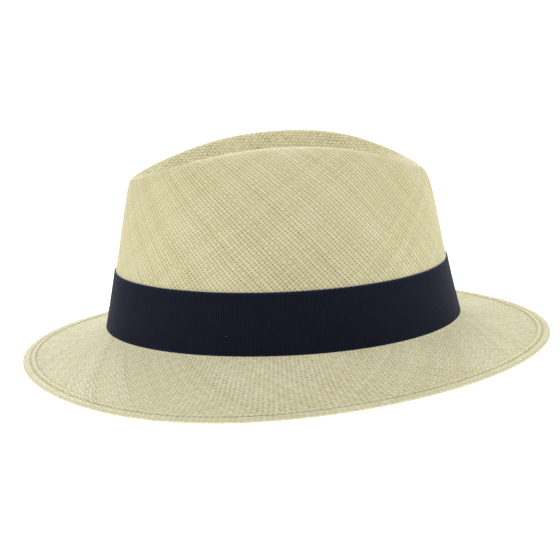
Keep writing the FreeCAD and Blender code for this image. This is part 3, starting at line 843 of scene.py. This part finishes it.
def make_bow(ribbon):
    """The flat side bow: a loop, the knot round its waist, and one end cut on the slant."""
    face = BAND_GAP + RIBBON
    loop = bow_loop("bow_loop_ribbon", BOW_ANGLE, BOW_HALF_LENGTH, BOW_LOW, BOW_HIGH,
                    face + 1.5 * RIBBON + 2 * LAYER_GAP, BOW_BULGE, BOW_WAIST, RIBBON, 1, ribbon)
    knot = bow_knot("bow_knot_ribbon", BOW_ANGLE, KNOT_WIDTH, KNOT_LOW, KNOT_HIGH,
                    face + 2 * LAYER_GAP, KNOT_DEPTH, RIBBON, 1, ribbon)

    def slanted(along, height):
        slant = max(0.0, along / TAIL_LENGTH - (1 - TAIL_SLANT)) / TAIL_SLANT
        low = BOW_LOW + TAIL_POINT * slant * (BOW_HIGH - BOW_LOW)
        share = (height - BOW_LOW) / (BOW_HIGH - BOW_LOW)
        return beside(BOW_ANGLE, along, low + share * (BOW_HIGH - low),
                      face + LAYER_GAP + RIBBON / 2)

    tail = flat_piece("bow_tail_ribbon", TAIL_LENGTH, BOW_LOW, BOW_HIGH, slanted, RIBBON, ribbon,
                      steps=26)
    for made, node, flat, held in (
            (loop, "bow_loop", (0.028, 4 * BOW_HALF_LENGTH * MM), "folded"),
            (knot, "bow_knot", (0.013, 0.072), "folded"),
            (tail, "bow_tail", (0.028, TAIL_LENGTH * MM), "laid")):
        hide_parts(node)


def make_band_tacks(thread):
    """Short hand stitches that hold the ribbon to the straw."""
    places = []
    for turn in TACK_ANGLES:
        angle = radians(turn)
        off = BAND_GAP + RIBBON + TACK_LIFT
        places.append((on_wall(angle, TACK_HEIGHT, off), on_wall(angle + AHEAD, TACK_HEIGHT, off)))
    made = bars("ribbon_tacks", places, TACK_LENGTH, TACK_RADIUS, thread)
    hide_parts("band_tacks")


# ---------------------------------------------------------------- inside the crown

def reed_centre(angle):
    """The middle of the reed, just inside the straw and a little below the crown's foot."""
    x, y, _ = on_wall(angle, 0.0, 0.0)
    nx, ny = outward(angle)
    inwards = STRAW + 2 * TAPE + REED_CLEARANCE + REED_RADIUS
    return x - nx * inwards, y - ny * inwards, -REED_DROP


def round_reed(angle, radius, turns):
    """Points round the reed, at turns in degrees from the side that faces the straw."""
    x, y, z = reed_centre(angle)
    nx, ny = outward(angle)
    turns = [radians(turn) for turn in turns]
    return [(x + nx * radius * cos(a), y + ny * radius * cos(a), z + radius * sin(a)) for a in turns]


def make_sweatband(leather, reed, tape, thread):
    """The leather that lies against the head, hung from a reed by a strip of cloth tape."""
    def leather_section(angle):
        return flat_section(REED_RADIUS + TAPE, SWEATBAND_HIGH, -LEATHER_FACE, LEATHER - LEATHER_FACE,
                            lambda height, off: on_wall(angle, height, off))

    band = ribbon_ring("leather_sweatband", leather_section, INNER_STEPS, 575.0, leather)
    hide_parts("sweatband")

    def reed_section(angle):
        return round_reed(angle, REED_RADIUS, range(0, 361, 45))

    core = ribbon_ring("sweatband_reed_core", reed_section, INNER_STEPS, 580.0, reed)
    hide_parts("sweatband_reed")

    def tape_section(angle):
        near = REED_RADIUS + TAPE_GAP
        wrap = range(195, 346, 30)
        outside, inside = -(STRAW + TAPE_GAP), -(STRAW + TAPE_GAP + TAPE)
        heights = (1.0, 3.0, 5.0, 7.0)
        points = round_reed(angle, near + TAPE, wrap)
        points += [on_wall(angle, height, outside) for height in heights]
        points += [on_wall(angle, height, inside) for height in reversed(heights)]
        points += round_reed(angle, near, reversed(wrap))
        return points + points[:1]

    wrapped = ribbon_ring("cloth_reed_tape", tape_section, INNER_STEPS, 585.0, tape)
    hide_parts("reed_tape")

    places = []
    off = -(LEATHER_FACE + LAYER_GAP)
    for k in range(LEATHER_STITCHES):
        angle = 2 * pi * k / LEATHER_STITCHES
        places.append((on_wall(angle, LEATHER_STITCH_HEIGHT, off),
                       on_wall(angle + AHEAD, LEATHER_STITCH_HEIGHT, off)))
    sewn = bars("sweatband_stitches", places, LEATHER_STITCH, LEATHER_STITCH_RADIUS, thread)
    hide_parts("sweatband_stitching")


def make_inner_trim(tape, label_cloth, satin):
    """The tape over the leather's seam, a blank size label, and the small bow at the back."""
    off = -(LEATHER_FACE + LAYER_GAP + LABEL_THICKNESS / 2)

    def on_seam(along, height):
        return beside(SEAM_ANGLE, along - SEAM_TAPE_WIDTH / 2, height, off)

    def on_leather(along, height):
        return beside(LABEL_ANGLE, along - LABEL_WIDTH / 2, height, off)

    seam = flat_piece("seam_tape_strip", SEAM_TAPE_WIDTH, SEAM_TAPE_LOW, SWEATBAND_HIGH - 1,
                      on_seam, LABEL_THICKNESS, tape, steps=6)
    label = flat_piece("blank_size_label", LABEL_WIDTH, LABEL_LOW, LABEL_HIGH,
                       on_leather, LABEL_THICKNESS, label_cloth, steps=10)
    back = LEATHER_FACE + SMALL_BOW_OFF
    loop = bow_loop("satin_bow_loop", SEAM_ANGLE, SMALL_BOW_HALF, SMALL_BOW_LOW, SMALL_BOW_HIGH,
                    back, SMALL_BOW_BULGE, SMALL_BOW_WAIST, SATIN, -1, satin)
    knot = bow_knot("satin_bow_knot", SEAM_ANGLE, SMALL_KNOT_WIDTH,
                    SMALL_BOW_LOW - SMALL_KNOT_OVER, SMALL_BOW_HIGH + SMALL_KNOT_OVER,
                    back - SMALL_BOW_WAIST / 2, SMALL_KNOT_DEPTH, SATIN, -1, satin)
    for made, node, slot in (
            (seam, "seam_tape", "black_tape"), (label, "size_label", "label_cloth"),
            (loop, "sweatband_bow", "black_satin"), (knot, "sweatband_bow", "black_satin")):
        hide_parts(node)


# ---------------------------------------------------------------- the stage

def softbox(name, place, power, colour="#ffffff"):
    """A round lamp 0.8 m wide, turned to the crown."""
    data = bpy.data.lights.new(name, "AREA")
    data.shape = "DISK"
    data.size = 0.8
    data.energy = power
    data.color = linear(colour)[:3]
    lamp = bpy.data.objects.new(name, data)
    lamp.location = place
    to_crown = Vector((0, 0, 0.05)) - Vector(place)
    lamp.rotation_euler = to_crown.to_track_quat("-Z", "Y").to_euler()
    bpy.context.scene.collection.objects.link(lamp)


def make_stage():
    """A white table lit from inside, soft light all round, and four broad lamps."""
    scene = bpy.context.scene
    scene.view_settings.view_transform = "Standard"
    material, tree, shader = new_material("lit_white_table")
    body = add(tree, "ShaderNodeTexCoord", output="Object")
    grain = add(tree, "ShaderNodeTexNoise", inputs={"Vector": body, "Scale": 300.0, "Detail": 2.0})
    shade = add(tree, "ShaderNodeMix", output=2, data_type="RGBA",
                inputs={0: grain, 6: linear("#fbfbfa"), 7: linear("#ffffff")})
    tree.links.new(shade, shader.inputs["Base Color"])
    shader.inputs["Roughness"].default_value = 0.8
    shader.inputs["Emission Color"].default_value = linear("#fffdfa")
    shader.inputs["Emission Strength"].default_value = 0.75
    bm = bmesh.new()
    bmesh.ops.create_grid(bm, x_segments=1, y_segments=1, size=20)
    mesh = bpy.data.meshes.new("floor")
    bm.to_mesh(mesh)
    bm.free()
    mesh.materials.append(material)
    floor = bpy.data.objects.new("floor", mesh)
    scene.collection.objects.link(floor)

    world = bpy.data.worlds.new("soft_white_room")
    world.use_nodes = True
    background = world.node_tree.nodes["Background"]
    background.inputs["Color"].default_value = linear("#ffffff")
    # The walls look white, and light the hat less than the lamps do
    on_hat, seen = 0.43, 1.0
    direct = add(world.node_tree, "ShaderNodeLightPath", output="Is Camera Ray")
    strength = add(world.node_tree, "MULTIPLY_ADD", direct, seen - on_hat, on_hat)
    world.node_tree.links.new(strength, background.inputs["Strength"])
    scene.world = world
    softbox("overhead_softbox", (0.1, 0.0, 1.3), 8.0, "#fffdf8")
    softbox("front_side_softbox", (-0.2, -1.2, 0.6), 5.0)
    softbox("back_side_softbox", (-0.2, 1.2, 0.6), 5.5)
    softbox("far_side_softbox", (1.1, 0.0, 0.8), 8.5)


def make_camera():
    """Level with the brim, a little above it, looking at the wearer's right side."""
    azimuth, elevation, roll = radians(-94.609), radians(13.736), radians(-3.712)
    aim, distance = Vector((-0.00065, 0.00221, 0.03919)), 0.89967
    back = Vector((sin(azimuth) * cos(elevation), -cos(azimuth) * cos(elevation), sin(elevation)))
    right = (-back).cross(Vector((0, 0, 1))).normalized()
    up = back.cross(right)
    tilted_right = right * cos(roll) + up * sin(roll)
    tilted_up = up * cos(roll) - right * sin(roll)
    matrix = Matrix((tilted_right, tilted_up, back)).transposed().to_4x4()
    matrix.translation = aim + back * distance
    data = bpy.data.cameras.new("camera")
    data.lens, data.sensor_width = 99.02, 36.0
    camera = bpy.data.objects.new("camera", data)
    camera.matrix_world = matrix
    bpy.context.scene.collection.objects.link(camera)
    bpy.context.scene.camera = camera


def main():
    """Makes the hat's materials and pieces, then what it is shown on."""
    # The third tone of each straw is its painted shade, for the gaps in the weave and the slits in the
    # brim's fold
    crown_tones = ("#d6d2ad", "#bcb284", "#5e4f2e")
    brim_tones = ("#d6d3b4", "#beb68f", "#5e4f2e")
    crown_straw = toquilla_straw(
        "toquilla_straw_crown", CROWN_STRANDS, 1.0, *crown_tones, twist=0.25, depth=1.0)
    top_straw = toquilla_straw(
        "toquilla_straw_crease", CREASE_STRANDS, 2.0, *crown_tones, twist=0.0, depth=1.1)
    brim_straw = toquilla_straw(
        "toquilla_straw_brim", BRIM_STRANDS, 2.0, *brim_tones, twist=0.0, depth=0.85, stitched=True)
    straw_thread = spun("waxed_straw_thread", "#c2b88e", "#dcd4ad", 0.5)
    navy_thread = spun("navy_thread", "#12131c", "#2a2d3d", 0.4)
    black_tape = spun("black_cotton_tape", "#141414", "#2c2b29", 0.8)
    reed = spun("cane_reed", "#b99a63", "#d9c08c", 1.5)
    label_cloth = spun("white_label_cloth", "#e4e0d6", "#f4f1ea", 0.6)
    satin = spun("black_satin", "#0d0d10", "#26262c", 0.3, roughness=0.3)
    # The second colour is the painted highlight on the rib tops, the third the painted highlight on the
    # ribbon's edges
    ribbon = grosgrain("navy_grosgrain_ribbon", "#090b14", "#161b2f", "#20263e")

    make_straw_body(crown_straw, top_straw, brim_straw)
    make_brim_stitching(straw_thread)
    make_hat_band(ribbon)
    make_bow(ribbon)
    make_band_tacks(navy_thread)
    make_sweatband(roan_leather("tan_roan_leather"), reed, black_tape, straw_thread)
    make_inner_trim(black_tape, label_cloth, satin)
    make_stage()
    make_camera()


main()
